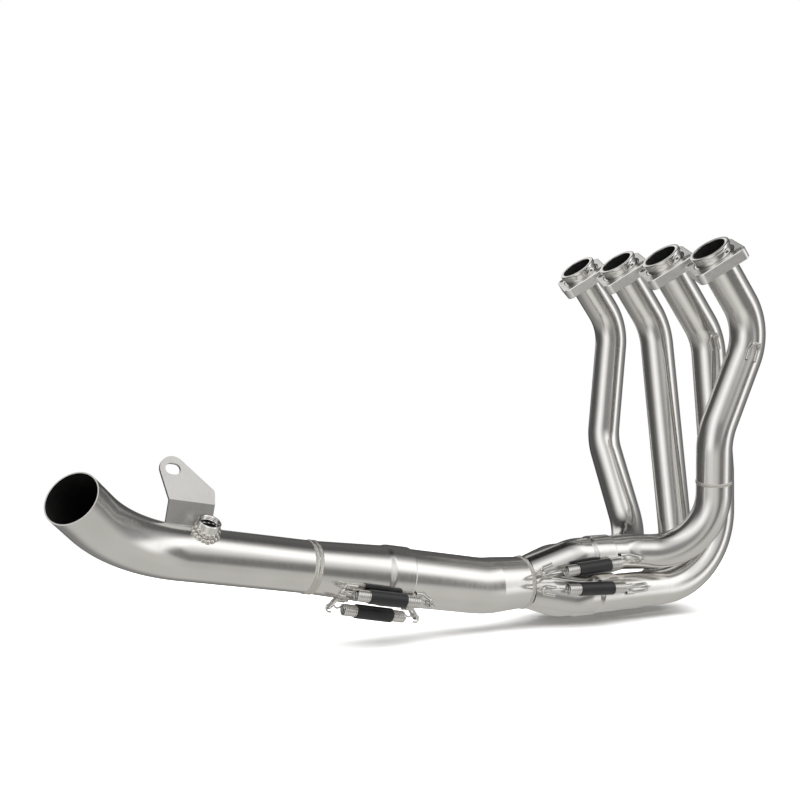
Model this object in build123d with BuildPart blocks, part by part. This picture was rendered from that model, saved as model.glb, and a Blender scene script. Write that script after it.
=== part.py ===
from build123d import *
from math import cos, radians, sin, sqrt
import os

# Motorcycle exhaust header, four into one, for an inline four-cylinder engine.
# Millimetres. +X points to the front of the bike, +Y to the rider's left, +Z up.
# The origin is the middle of port 1's flange face. Ports run 1 to 4 from left to right.

# Port row
PORT_PITCH = 77.0
PORT_TILT = 38.0
PORTS = (1, 2, 3, 4)

# Tubes
PRIMARY_OUTER = 38.0
TUBE_WALL = 1.2
PRIMARY_BEND_RADIUS = 62.0

# Port spigots: a turned collar with a rim at the gasket end and a shoulder that the flange pushes on
SPIGOT_OUTER = 42.0
SPIGOT_STAND = 11.0
SPIGOT_RIM_OUTER = 44.4
SPIGOT_RIM_HEIGHT = 4.0
SPIGOT_RIM_CHAMFER = 0.6
SPIGOT_SHOULDER_OUTER = 45.2
SPIGOT_NECK_OUTER = 40.0
SPIGOT_TAIL = 3.0
SPIGOT_TAPER = 2.0

# Head flanges: thick plates with rounded corners, two of them with stud holes
FLANGE_END_WALL = 3.125
FLANGE_SIDE_WALL = 2.58
FLANGE_CORNER = 7.5
FLANGE_THICKNESS = 12.0
FLANGE_RECESS_DEPTH = 4.5
FLANGE_RECESS_GAP = 0.8
FLANGE_BORE_GAP = 0.3
FLANGE_SEAT_GAP = 0.3
FLANGE_EDGE = 0.8
FLANGE_TURN = 60.0
STUD_TURN = 17.0
STUD_SPACING = 59.0
STUD_HOLE = 8.6
STUD_ANGLE = radians(FLANGE_TURN - STUD_TURN)
FLANGE_LENGTH = STUD_SPACING * cos(STUD_ANGLE) + STUD_HOLE + 2 * FLANGE_END_WALL
FLANGE_WIDTH = STUD_SPACING * sin(STUD_ANGLE) + STUD_HOLE + 2 * FLANGE_SIDE_WALL

# Collector: four legs in a square, rolled about its axis, that merge behind their socket mouths at the weld ring
COLLECTOR_X = -80.9
COLLECTOR_Y = -138.0
COLLECTOR_Z = -344.4
COLLECTOR_ROLL = 15.0
LEG_SPACING = 41.6
LEG_MERGE_LENGTH = 55.0
LEG_STRAIGHT = 15.0
LEG_BEND_RADIUS = 40.0
SOCKET_LENGTH = 25.0
SOCKET_FLARE = 5.0
SOCKET_DEPTH = 22.0
SLIP_GAP = 0.25

# Collector outlet
THROAT_OUTER = 54.0
OUTLET_OUTER = 58.0
OUTLET_CONE_LENGTH = 40.0
OUTLET_BEND_PLACE = 52.0
OUTLET_BEND_RADIUS = 120.0
LINK_RISE = 9.8

# Link pipe, measured along its own axis from the outlet's bend
LINK_START = 94.0
LINK_SLEEVE_LENGTH = 24.0
LINK_SLEEVE_FLARE = 4.0
LINK_END = 197.0
LINK_INSERT = 21.0

# Tail pipe
TAIL_OUTER = 50.8
TAIL_STRAIGHT = 185.0
TAIL_BEND_RADIUS = 135.0
TAIL_END_LENGTH = 89.0
TAIL_OUTWARD = 41.0
TAIL_RISE = 33.7

# Weld beads
BEAD_WIDTH = 5.0
BEAD_HEIGHT = 1.3
MERGE_RING_DEPTH = 3.6

# Sensor boss on the tail
BOSS_PLACE = 114.0
BOSS_LEAN = 29.0
BOSS_OUTER = 22.0
BOSS_STAND = 12.5
BOSS_THREAD_MINOR = 16.4
BOSS_EDGE = 0.8

# Hanger bracket: sheet folded along a line above the tail
BRACKET_PLACE = 105.0
BRACKET_SHEET = 3.0
BRACKET_LENGTH = 44.0
BRACKET_FOLD_HEIGHT = 22.0
BRACKET_FOLD_ANGLE = 25.0
BRACKET_EYE_X = 41.0
BRACKET_EYE_Y = 30.0
BRACKET_EYE_RADIUS = 12.5
BRACKET_SHOULDER_RADIUS = 5.0
BRACKET_SHOULDER_Y = 11.0
BRACKET_SLOT_LENGTH = 14.5
BRACKET_SLOT_WIDTH = 11.0

# Wire spring hooks: a hairpin welded along the tube with its closed end raised
HOOK_WIRE = 3.2
HOOK_HALF_WIDTH = 3.5
HOOK_LEG = 12.0
HOOK_REACH = 6.0
HOOK_FOOT_RADIUS = 3.0
HOOK_HEAD_RADIUS = 2.6
HOOK_SEAT_GAP = 0.05
PRIMARY_HOOK_STAND = 14.0
LEG_HOOK_STAND = 17.0
LINK_HOOK_STAND = 10.5
SPARE_HOOK_STAND = 9.0
PRIMARY_HOOK_GAP = 3.0
LEG_HOOK_PLACE = 8.0
OUTLET_HOOK_GAP = 2.5
OUTLET_HOOK_LEG = 8.5
LINK_HOOK_PLACE = 174.0
SPARE_HOOK_PLACES = {3: 97.0, 4: 108.0}
SPARE_HOOK_HALF_WIDTH = 4.6
SPARE_HOOK_SEAT_GAP = 0.32
SPARE_HOOK_LEAN = 0.4

# Springs: close coil with a hooked wire at each end, and a sleeve over the middle
SPRING_WIRE = 2.0
SPRING_OUTER = 12.0
SPRING_GROOVE = 0.9
SPRING_TURN_PITCH = 3.0
SPRING_TURNS = 5
SPRING_LOOP = 3.7
SPRING_LOOP_LEAD = 3.5
SPRING_HOOK_GAP = 0.3
SLEEVE_LENGTH = 40.0
SLEEVE_WALL = 1.0
SLEEVE_GAP = 0.1

# Each primary's first straight run from its flange face along the port axis
FIRST_RUN = {1: 79.0, 2: 84.0, 3: 102.0, 4: 95.0}
# Bends on the way down: forward of the port row, sideways from the port, and height
MIDDLE_BENDS = {
    1: [(34.1, 0.0, -203.9)],
    2: [],
    3: [(72.1, -6.0, -232.9)],
    4: [(13.1, 12.0, -189.9)],
}
# The bottom elbow: forward of the port row, sideways from the port (None where it is in line with its
# collector leg), and bend radius
ELBOWS = {
    1: (25.1, -72.0, 62.0),
    2: (51.1, None, 70.0),
    3: (70.1, None, 85.0),
    4: (29.1, 31.0, 66.0),
}
# Where an elbow isn't in line with its leg, the tube turns into line this far ahead of its socket
ALIGN_AHEAD = 32.0
ALIGN_RADIUS = 55.0
# Which way each leg lies from the collector's axis, before the roll, in degrees from the rider's left
LEG_ANGLES = {1: 45.0, 2: 315.0, 3: 225.0, 4: 135.0}
# Which way the spring hooks stand, in degrees from the rider's left towards up
PRIMARY_HOOK_ANGLES = {1: 345.0, 2: 8.0, 3: 165.0, 4: 188.0}
LEG_HOOK_ANGLES = {1: 358.0, 2: 350.0, 3: 178.0, 4: 170.0}
LINK_SPRING_ANGLES = {1: 210.0, 2: 256.0}
# The butt weld on primary 4, above its elbow
WELDED_PRIMARY = 4
WELD_ABOVE_ELBOW = 80.0

PRIMARY_RADIUS = PRIMARY_OUTER / 2
SPIGOT_RADIUS = SPIGOT_OUTER / 2
SPIGOT_END = -FLANGE_THICKNESS - SPIGOT_TAIL
LEG_RADIUS_PLACE = LEG_SPACING / sqrt(2)
SOCKET_INNER = PRIMARY_RADIUS + SLIP_GAP
SOCKET_OUTER = SOCKET_INNER + TUBE_WALL
LEG_LENGTH = LEG_MERGE_LENGTH + LEG_STRAIGHT + SOCKET_FLARE + SOCKET_LENGTH
ALIGN_PLACE = LEG_LENGTH + ALIGN_AHEAD
PRIMARY_HOOK_PLACE = LEG_LENGTH + PRIMARY_HOOK_GAP + HOOK_LEG + HOOK_REACH
OUTLET_HOOK_PLACE = LINK_START - OUTLET_HOOK_GAP - OUTLET_HOOK_LEG - HOOK_REACH
OUTLET_RADIUS = OUTLET_OUTER / 2
TAIL_RADIUS = TAIL_OUTER / 2
LEFT = Vector(0, 1, 0)
UP = Vector(0, 0, 1)
FORWARD = Vector(1, 0, 0)
PORT_AXIS = Vector(-sin(radians(PORT_TILT)), 0, cos(radians(PORT_TILT)))
RING_CENTRE = Vector(COLLECTOR_X - LEG_LENGTH, COLLECTOR_Y, COLLECTOR_Z)
OUTLET_BEND = RING_CENTRE - FORWARD * OUTLET_BEND_PLACE
LINK_AXIS = Vector(-cos(radians(LINK_RISE)), 0, sin(radians(LINK_RISE)))
LINK_UP = LINK_AXIS.cross(LEFT)
LINK_UP = LINK_UP if LINK_UP.Z > 0 else LINK_UP * -1
TAIL_START = OUTLET_BEND + LINK_AXIS * LINK_END
TAIL_BEND = TAIL_START + LINK_AXIS * TAIL_STRAIGHT
TAIL_AXIS = Vector(
    -cos(radians(TAIL_RISE)) * cos(radians(TAIL_OUTWARD)),
    -cos(radians(TAIL_RISE)) * sin(radians(TAIL_OUTWARD)),
    sin(radians(TAIL_RISE)),
)
TAIL_MOUTH = TAIL_BEND + TAIL_AXIS * TAIL_END_LENGTH


def port_centre(number):
    return Vector(0, -PORT_PITCH * (number - 1), 0)


def sideways(angle):
    return LEFT * cos(radians(angle)) + UP * sin(radians(angle))


def leg_angle(number):
    return LEG_ANGLES[number] - COLLECTOR_ROLL


def leg_point(number, place, radius=LEG_RADIUS_PLACE):
    return RING_CENTRE + FORWARD * place + sideways(leg_angle(number)) * radius


def half_plane(origin, axis, across):
    """A sketch plane through an axis: its x is the radius and its y runs along the axis."""
    return Plane(origin=origin, x_dir=across, z_dir=across.cross(axis))


def turned_face(plane, points):
    with BuildSketch(plane) as profile:
        with BuildLine():
            Polyline(*points, close=True)
        make_face()
    return profile.sketch


def bead_face(plane, radius, place):
    """A weld bead's section on a tube, a low round back over a flat foot."""
    foot = (radius, place - BEAD_WIDTH / 2)
    back = (radius + BEAD_HEIGHT, place)
    toe = (radius, place + BEAD_WIDTH / 2)
    with BuildSketch(plane) as profile:
        with BuildLine():
            ThreePointArc(foot, back, toe)
            Line(toe, foot)
        make_face()
    return profile.sketch


def bent_path(points, radii):
    with BuildLine() as path:
        FilletPolyline(*points, radius=radii)
    return path.line


def ring_face(path, radius, wall):
    with BuildSketch(Plane(origin=path @ 0, z_dir=path % 0)) as ring:
        Circle(radius)
        Circle(radius - wall, mode=Mode.SUBTRACT)
    return ring.sketch


def wire_face(path, diameter):
    with BuildSketch(Plane(origin=path @ 0, z_dir=path % 0)) as wire:
        Circle(diameter / 2)
    return wire.sketch


def primary_route(number):
    centre = port_centre(number)
    leg = leg_point(number, 0)
    points = [centre + PORT_AXIS * SPIGOT_END, centre - PORT_AXIS * FIRST_RUN[number]]
    radii = [PRIMARY_BEND_RADIUS]
    for forward, aside, height in MIDDLE_BENDS[number]:
        points.append(Vector(forward, centre.Y + aside, height))
        radii.append(PRIMARY_BEND_RADIUS)
    forward, aside, radius = ELBOWS[number]
    points.append(Vector(forward, leg.Y if aside is None else centre.Y + aside, leg.Z))
    radii.append(radius)
    if aside is not None:
        points.append(leg_point(number, ALIGN_PLACE))
        radii.append(ALIGN_RADIUS)
    points.append(leg_point(number, LEG_LENGTH - SOCKET_DEPTH))
    return points, radii


def hook_path(seat, along, out, radius, stand, leg=HOOK_LEG, half=HOOK_HALF_WIDTH, gap=HOOK_SEAT_GAP):
    """A hairpin on a tube of this radius: seat is on the tube's axis below the raised end."""
    across = out.cross(along)
    low = sqrt((radius + HOOK_WIRE / 2 + gap) ** 2 - half**2)
    side = across * half
    points = []
    for turn in (-1, 1):
        wire = [
            seat - along * (HOOK_REACH + leg) + out * low + side * turn,
            seat - along * HOOK_REACH + out * low + side * turn,
            seat + out * (radius + stand) + side * turn,
        ]
        points += wire if turn < 0 else wire[::-1]
    return bent_path(points, [HOOK_FOOT_RADIUS, HOOK_HEAD_RADIUS, HOOK_HEAD_RADIUS, HOOK_FOOT_RADIUS])


def spring_end_path(eye, pull, across, length):
    """The hooked wire at a spring's end, from the coil to its loop round a hook's raised end."""
    lift = across.cross(pull)
    offset = SPRING_LOOP - SPRING_WIRE / 2 - HOOK_WIRE / 2 - SPRING_HOOK_GAP
    middle = eye - pull * offset
    points = [
        (offset - length, 0),
        (-SPRING_LOOP - SPRING_LOOP_LEAD, 0),
        (-SPRING_LOOP, SPRING_LOOP),
        (SPRING_LOOP, SPRING_LOOP),
        (SPRING_LOOP, -SPRING_LOOP),
        (-SPRING_LOOP / 2, -SPRING_LOOP),
    ]
    bend = SPRING_LOOP * 0.9
    places = [middle + pull * x + lift * y for x, y in points]
    return bent_path(places, [bend, bend / 2, bend, bend])


def coil_points(length):
    """Half section of a spring's coil: ridges at both ends and a plain middle under the sleeve."""
    crest = SPRING_OUTER / 2
    points = [(0, -length / 2)]
    for turn in range(SPRING_TURNS):
        start = -length / 2 + turn * SPRING_TURN_PITCH
        points += [(crest - SPRING_GROOVE, start), (crest, start + SPRING_TURN_PITCH / 2)]
    start = -length / 2 + SPRING_TURNS * SPRING_TURN_PITCH
    points += [(crest - SPRING_GROOVE, start), (crest, start + SPRING_TURN_PITCH / 2)]
    mirrored = [(x, -y) for x, y in reversed(points)]
    return points + mirrored


os.makedirs("parts", exist_ok=True)

# Port spigots
for number in PORTS:
    section = half_plane(port_centre(number), PORT_AXIS, LEFT)
    bore = PRIMARY_RADIUS - TUBE_WALL
    rim = SPIGOT_RIM_OUTER / 2
    neck = SPIGOT_NECK_OUTER / 2
    shoulder = SPIGOT_SHOULDER_OUTER / 2
    seat = -FLANGE_RECESS_DEPTH + FLANGE_SEAT_GAP
    profile = [
        (bore, SPIGOT_END),
        (PRIMARY_RADIUS, SPIGOT_END),
        (neck, SPIGOT_END + SPIGOT_TAPER),
        (neck, seat),
        (shoulder, seat),
        (shoulder, -FLANGE_SEAT_GAP),
        (SPIGOT_RADIUS, -FLANGE_SEAT_GAP),
        (SPIGOT_RADIUS, SPIGOT_STAND - SPIGOT_RIM_HEIGHT),
        (rim, SPIGOT_STAND - SPIGOT_RIM_HEIGHT),
        (rim, SPIGOT_STAND - SPIGOT_RIM_CHAMFER),
        (rim - SPIGOT_RIM_CHAMFER, SPIGOT_STAND),
        (bore, SPIGOT_STAND),
    ]
    collar = turned_face(section, profile)
    with BuildPart() as port_spigot:
        revolve(collar, axis=Axis(port_centre(number), PORT_AXIS))
    port_spigot.part.label = f"port_spigot_{number}"
    export_step(port_spigot.part, f"parts/port_spigot_{number}.step")

# Head flanges
for number in PORTS:
    face = Plane(origin=port_centre(number), x_dir=LEFT, z_dir=PORT_AXIS)
    with BuildPart() as head_flange:
        with BuildSketch(face):
            RectangleRounded(FLANGE_LENGTH, FLANGE_WIDTH, FLANGE_CORNER, rotation=FLANGE_TURN)
            Circle(SPIGOT_NECK_OUTER / 2 + FLANGE_BORE_GAP, mode=Mode.SUBTRACT)
            with PolarLocations(STUD_SPACING / 2, 2, start_angle=STUD_TURN):
                Circle(STUD_HOLE / 2, mode=Mode.SUBTRACT)
        extrude(amount=-FLANGE_THICKNESS)
        with BuildSketch(face):
            Circle(SPIGOT_SHOULDER_OUTER / 2 + FLANGE_RECESS_GAP)
        extrude(amount=-FLANGE_RECESS_DEPTH, mode=Mode.SUBTRACT)
        rims = head_flange.faces().sort_by(Axis(port_centre(number), PORT_AXIS))
        chamfer([rims[-1].outer_wire().edges(), rims[0].outer_wire().edges()], FLANGE_EDGE)
    head_flange.part.label = f"head_flange_{number}"
    export_step(head_flange.part, f"parts/head_flange_{number}.step")

# Primary tubes
for number in PORTS:
    route, radii = primary_route(number)
    path = bent_path(route, radii)
    section = ring_face(path, PRIMARY_RADIUS, TUBE_WALL)
    with BuildPart() as primary_tube:
        sweep(section, path=path)
        if number == WELDED_PRIMARY:
            elbow = route[3]
            down = (route[3] - route[2]).normalized()
            weld_plane = half_plane(elbow - down * WELD_ABOVE_ELBOW, down, down.cross(FORWARD).normalized())
            revolve(bead_face(weld_plane, PRIMARY_RADIUS, 0), axis=Axis(weld_plane.origin, down))
    primary_tube.part.label = f"primary_tube_{number}"
    export_step(primary_tube.part, f"parts/primary_tube_{number}.step")

# Collector legs, each cut to its own quarter and joined to its neighbours face to face
merge_start = (THROAT_OUTER - PRIMARY_OUTER) / 2
lean = (LEG_RADIUS_PLACE - merge_start) / LEG_MERGE_LENGTH
for number in PORTS:
    angle = leg_angle(number)
    run_back = -PRIMARY_RADIUS
    start = leg_point(number, run_back, merge_start + lean * run_back)
    socket_start = LEG_LENGTH - SOCKET_LENGTH - SOCKET_FLARE
    route = [start, leg_point(number, LEG_MERGE_LENGTH), leg_point(number, socket_start)]
    path = bent_path(route, [LEG_BEND_RADIUS])
    section = ring_face(path, PRIMARY_RADIUS, TUBE_WALL)
    socket = turned_face(
        half_plane(leg_point(number, 0), FORWARD, LEFT),
        [
            (PRIMARY_RADIUS - TUBE_WALL, socket_start),
            (PRIMARY_RADIUS, socket_start),
            (SOCKET_OUTER, LEG_LENGTH - SOCKET_LENGTH),
            (SOCKET_OUTER, LEG_LENGTH),
            (SOCKET_INNER, LEG_LENGTH),
            (SOCKET_INNER, LEG_LENGTH - SOCKET_LENGTH),
        ],
    )
    with BuildPart() as collector_leg:
        sweep(section, path=path)
        split(bisect_by=Plane(origin=RING_CENTRE, z_dir=FORWARD), keep=Keep.TOP)
        for side in (-45, 45):
            split(bisect_by=Plane(origin=RING_CENTRE, z_dir=sideways(angle + side)), keep=Keep.TOP)
        revolve(socket, axis=Axis(leg_point(number, 0), FORWARD))
    collector_leg.part.label = f"collector_leg_{number}"
    export_step(collector_leg.part, f"parts/collector_leg_{number}.step")

# Collector outlet: the merge's weld ring, a diverging cone, a slight bend and a plain slip end
throat = THROAT_OUTER / 2
ring_section = half_plane(RING_CENTRE, FORWARD * -1, LEFT)
cone = turned_face(
    ring_section,
    [
        (throat - MERGE_RING_DEPTH, 0),
        (throat, 0),
        (throat, BEAD_WIDTH),
        (OUTLET_RADIUS, OUTLET_CONE_LENGTH),
        (OUTLET_RADIUS - TUBE_WALL, OUTLET_CONE_LENGTH),
        (throat - TUBE_WALL, BEAD_WIDTH),
        (throat - TUBE_WALL, BEAD_HEIGHT),
        (throat - MERGE_RING_DEPTH, BEAD_HEIGHT),
    ],
)
ring_bead = bead_face(ring_section, throat, BEAD_WIDTH / 2)
cone_end = RING_CENTRE - FORWARD * OUTLET_CONE_LENGTH
slip_end = OUTLET_BEND + LINK_AXIS * (LINK_START + LINK_INSERT)
path = bent_path([cone_end, OUTLET_BEND, slip_end], [OUTLET_BEND_RADIUS])
section = ring_face(path, OUTLET_RADIUS, TUBE_WALL)
with BuildPart() as collector_outlet:
    revolve(cone, axis=Axis(RING_CENTRE, FORWARD))
    revolve(ring_bead, axis=Axis(RING_CENTRE, FORWARD))
    sweep(section, path=path)
collector_outlet.part.label = "collector_outlet"
export_step(collector_outlet.part, "parts/collector_outlet.step")

# Link pipe: sleeve over the outlet and a cone down to the tail
sleeve_inner = OUTLET_RADIUS + SLIP_GAP
sleeve_outer = sleeve_inner + TUBE_WALL
sleeve_end = LINK_START + LINK_SLEEVE_LENGTH
flare_end = sleeve_end + LINK_SLEEVE_FLARE
cone = turned_face(
    half_plane(OUTLET_BEND, LINK_AXIS, LEFT),
    [
        (sleeve_inner, LINK_START),
        (sleeve_outer, LINK_START),
        (sleeve_outer, sleeve_end),
        (OUTLET_RADIUS, flare_end),
        (TAIL_RADIUS, LINK_END),
        (TAIL_RADIUS - TUBE_WALL, LINK_END),
        (OUTLET_RADIUS - TUBE_WALL, flare_end),
        (sleeve_inner, sleeve_end),
    ],
)
with BuildPart() as link_pipe:
    revolve(cone, axis=Axis(OUTLET_BEND, LINK_AXIS))
link_pipe.part.label = "link_pipe"
export_step(link_pipe.part, "parts/link_pipe.step")

# Tail pipe with its weld ring and the sensor's hole
tail_path = bent_path([TAIL_START, TAIL_BEND, TAIL_MOUTH], [TAIL_BEND_RADIUS])
tail_round = wire_face(tail_path, TAIL_OUTER)
section = ring_face(tail_path, TAIL_RADIUS, TUBE_WALL)
weld = bead_face(half_plane(TAIL_START, LINK_AXIS, LEFT), TAIL_RADIUS, BEAD_WIDTH / 2)
boss_seat = TAIL_START + LINK_AXIS * BOSS_PLACE
boss_axis = LINK_UP * cos(radians(BOSS_LEAN)) - LEFT * sin(radians(BOSS_LEAN))
boss_top = boss_seat + boss_axis * (TAIL_RADIUS + BOSS_STAND)
boss_plane = Plane(origin=boss_top, x_dir=LINK_AXIS, z_dir=boss_axis)
with BuildPart() as tail_pipe:
    sweep(section, path=tail_path)
    revolve(weld, axis=Axis(TAIL_START, LINK_AXIS))
    with BuildSketch(boss_plane):
        Circle(BOSS_THREAD_MINOR / 2)
    extrude(amount=-TAIL_RADIUS - BOSS_STAND, mode=Mode.SUBTRACT)
tail_pipe.part.label = "tail_pipe"
export_step(tail_pipe.part, "parts/tail_pipe.step")

# Sensor boss, saddled on the tail
with BuildPart() as sensor_boss:
    with BuildSketch(boss_plane):
        Circle(BOSS_OUTER / 2)
    extrude(amount=-BOSS_OUTER / 2 - BOSS_STAND)
    chamfer(sensor_boss.faces().sort_by(Axis(boss_top, boss_axis))[-1].edges(), BOSS_EDGE)
    with BuildSketch(boss_plane):
        Circle(BOSS_THREAD_MINOR / 2)
    extrude(amount=-TAIL_RADIUS - BOSS_STAND, mode=Mode.SUBTRACT)
    sweep(tail_round, path=tail_path, mode=Mode.SUBTRACT)
sensor_boss.part.label = "sensor_boss"
export_step(sensor_boss.part, "parts/sensor_boss.step")

# Hanger bracket: a flap standing on the tail and a leaning plate with a slotted hole
bracket_foot = TAIL_START + LINK_AXIS * BRACKET_PLACE
fold_place = bracket_foot + LINK_UP * (TAIL_RADIUS + BRACKET_FOLD_HEIGHT)
plate_up = LINK_UP * cos(radians(BRACKET_FOLD_ANGLE)) + LEFT * sin(radians(BRACKET_FOLD_ANGLE))
flap_plane = Plane(origin=bracket_foot, x_dir=LINK_AXIS, z_dir=LINK_AXIS.cross(LINK_UP))
plate_plane = Plane(origin=fold_place, x_dir=LINK_AXIS, z_dir=LINK_AXIS.cross(plate_up))
with BuildPart() as hanger_bracket:
    with BuildSketch(flap_plane):
        with Locations((BRACKET_LENGTH / 2, (TAIL_RADIUS + BRACKET_FOLD_HEIGHT) / 2)):
            Rectangle(BRACKET_LENGTH, TAIL_RADIUS + BRACKET_FOLD_HEIGHT)
    extrude(amount=BRACKET_SHEET)
    with BuildSketch(plate_plane):
        with BuildLine():
            Line((0, 0), (BRACKET_LENGTH, 0))
        with Locations((BRACKET_EYE_X, BRACKET_EYE_Y)):
            Circle(BRACKET_EYE_RADIUS)
        with Locations((BRACKET_SHOULDER_RADIUS, BRACKET_SHOULDER_Y)):
            Circle(BRACKET_SHOULDER_RADIUS)
        with Locations((0, 0), (BRACKET_LENGTH, 0)):
            Circle(0.1)
        make_hull()
        with Locations((BRACKET_EYE_X, BRACKET_EYE_Y)):
            SlotOverall(BRACKET_SLOT_LENGTH, BRACKET_SLOT_WIDTH, mode=Mode.SUBTRACT)
    extrude(amount=BRACKET_SHEET)
    sweep(tail_round, path=tail_path, mode=Mode.SUBTRACT)
hanger_bracket.part.label = "hanger_bracket"
export_step(hanger_bracket.part, "parts/hanger_bracket.step")

# Spring hooks on the primaries and on the collector legs, each pair facing away from the other
# Each spring's two eyes are kept with the way its hook's raised end lies
eyes = {}
for number in PORTS:
    out = sideways(PRIMARY_HOOK_ANGLES[number])
    seat = leg_point(number, PRIMARY_HOOK_PLACE)
    path = hook_path(seat, FORWARD, out, PRIMARY_RADIUS, PRIMARY_HOOK_STAND)
    primary_eye = seat + out * (PRIMARY_RADIUS + PRIMARY_HOOK_STAND)
    primary_bar = out.cross(FORWARD)
    section = wire_face(path, HOOK_WIRE)
    with BuildPart() as primary_spring_hook:
        sweep(section, path=path)
    primary_spring_hook.part.label = f"primary_spring_hook_{number}"
    export_step(primary_spring_hook.part, f"parts/primary_spring_hook_{number}.step")

    seat = leg_point(number, LEG_HOOK_PLACE, merge_start + lean * LEG_HOOK_PLACE)
    along = (leg_point(number, 0, merge_start) - leg_point(number, LEG_MERGE_LENGTH)).normalized()
    out = sideways(LEG_HOOK_ANGLES[number])
    out = (out - along * out.dot(along)).normalized()
    path = hook_path(seat, along, out, PRIMARY_RADIUS, LEG_HOOK_STAND)
    section = wire_face(path, HOOK_WIRE)
    with BuildPart() as collector_spring_hook:
        sweep(section, path=path)
    collector_spring_hook.part.label = f"collector_spring_hook_{number}"
    export_step(collector_spring_hook.part, f"parts/collector_spring_hook_{number}.step")
    leg_eye = seat + out * (PRIMARY_RADIUS + LEG_HOOK_STAND)
    eyes[f"collector_spring_{number}"] = (primary_eye, primary_bar, leg_eye, along.cross(out))

# Spring hooks on the outlet and on the link pipe
cone_drop = (OUTLET_RADIUS - TAIL_RADIUS) / (LINK_END - flare_end)
for number, angle in LINK_SPRING_ANGLES.items():
    out = LINK_UP * sin(radians(angle)) + LEFT * cos(radians(angle))
    seat = OUTLET_BEND + LINK_AXIS * OUTLET_HOOK_PLACE
    path = hook_path(seat, LINK_AXIS * -1, out, OUTLET_RADIUS, LINK_HOOK_STAND, OUTLET_HOOK_LEG)
    outlet_eye = seat + out * (OUTLET_RADIUS + LINK_HOOK_STAND)
    outlet_bar = LINK_AXIS.cross(out)
    section = wire_face(path, HOOK_WIRE)
    with BuildPart() as outlet_spring_hook:
        sweep(section, path=path)
    outlet_spring_hook.part.label = f"outlet_spring_hook_{number}"
    export_step(outlet_spring_hook.part, f"parts/outlet_spring_hook_{number}.step")

    cone_radius = OUTLET_RADIUS - cone_drop * (LINK_HOOK_PLACE - flare_end)
    along = (LINK_AXIS - out * cone_drop).normalized()
    cone_out = (out + LINK_AXIS * cone_drop).normalized()
    seat = OUTLET_BEND + LINK_AXIS * LINK_HOOK_PLACE + out * cone_radius - cone_out * cone_radius
    path = hook_path(seat, along, cone_out, cone_radius, LINK_HOOK_STAND)
    link_eye = seat + cone_out * (cone_radius + LINK_HOOK_STAND)
    section = wire_face(path, HOOK_WIRE)
    with BuildPart() as link_spring_hook:
        sweep(section, path=path)
    link_spring_hook.part.label = f"link_spring_hook_{number}"
    export_step(link_spring_hook.part, f"parts/link_spring_hook_{number}.step")
    eyes[f"link_spring_{number}"] = (outlet_eye, outlet_bar, link_eye, along.cross(cone_out))

# Spare hooks on the first bend of primaries 3 and 4, placed along the tube from its flange face
for number, place in SPARE_HOOK_PLACES.items():
    route, radii = primary_route(number)
    tube_line = Wire(bent_path(route, radii).edges())
    half_length = (HOOK_REACH + HOOK_LEG) / 2
    share = (place + half_length + SPIGOT_END) / tube_line.length
    along = (tube_line % share) * -1
    seat = (tube_line @ share) + along * half_length
    out = LEFT * -1 - FORWARD * SPARE_HOOK_LEAN
    out = (out - along * out.dot(along)).normalized()
    shape = (SPARE_HOOK_STAND, HOOK_LEG, SPARE_HOOK_HALF_WIDTH, SPARE_HOOK_SEAT_GAP)
    path = hook_path(seat, along, out, PRIMARY_RADIUS, *shape)
    section = wire_face(path, HOOK_WIRE)
    with BuildPart() as spare_spring_hook:
        sweep(section, path=path)
    spare_spring_hook.part.label = f"spare_spring_hook_{number}"
    export_step(spare_spring_hook.part, f"parts/spare_spring_hook_{number}.step")

# Springs with their sleeves
coil_length = SLEEVE_LENGTH + 2 * SPRING_TURNS * SPRING_TURN_PITCH
sleeve_inner = SPRING_OUTER / 2 + SLEEVE_GAP
for name, (first, first_bar, second, second_bar) in eyes.items():
    pull = (second - first).normalized()
    middle = (first + second) * 0.5
    reach = ((second - first).length - coil_length) / 2
    first_across = (first_bar - pull * first_bar.dot(pull)).normalized()
    second_across = (second_bar - pull * second_bar.dot(pull)).normalized()
    section = half_plane(middle, pull, first_across)
    coil = turned_face(section, coil_points(coil_length))
    front_path = spring_end_path(first, pull * -1, first_across, reach)
    back_path = spring_end_path(second, pull, second_across * -1, reach)
    front = wire_face(front_path, SPRING_WIRE)
    back = wire_face(back_path, SPRING_WIRE)
    with BuildPart() as spring:
        revolve(coil, axis=Axis(middle, pull))
        sweep(front, path=front_path)
        sweep(back, path=back_path)
    spring.part.label = name
    export_step(spring.part, f"parts/{name}.step")

    tube = turned_face(
        section,
        [
            (sleeve_inner, -SLEEVE_LENGTH / 2),
            (sleeve_inner + SLEEVE_WALL, -SLEEVE_LENGTH / 2),
            (sleeve_inner + SLEEVE_WALL, SLEEVE_LENGTH / 2),
            (sleeve_inner, SLEEVE_LENGTH / 2),
        ],
    )
    sleeve_name = name.replace("spring", "spring_sleeve")
    with BuildPart() as spring_sleeve:
        revolve(tube, axis=Axis(middle, pull))
    spring_sleeve.part.label = sleeve_name
    export_step(spring_sleeve.part, f"parts/{sleeve_name}.step")
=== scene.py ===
# %% [markdown]
# Exhaust header, four into one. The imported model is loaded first: every tube, flange, hook and spring
# is already at its true size and place. The job here is the look: brushed and polished stainless steel,
# weld ripples, wound springs. Numbers are in millimetres and are turned to metres when a mesh is made.

# %% Load the frame
import bmesh
import bpy
import math
from mathutils import Matrix, Vector


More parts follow.
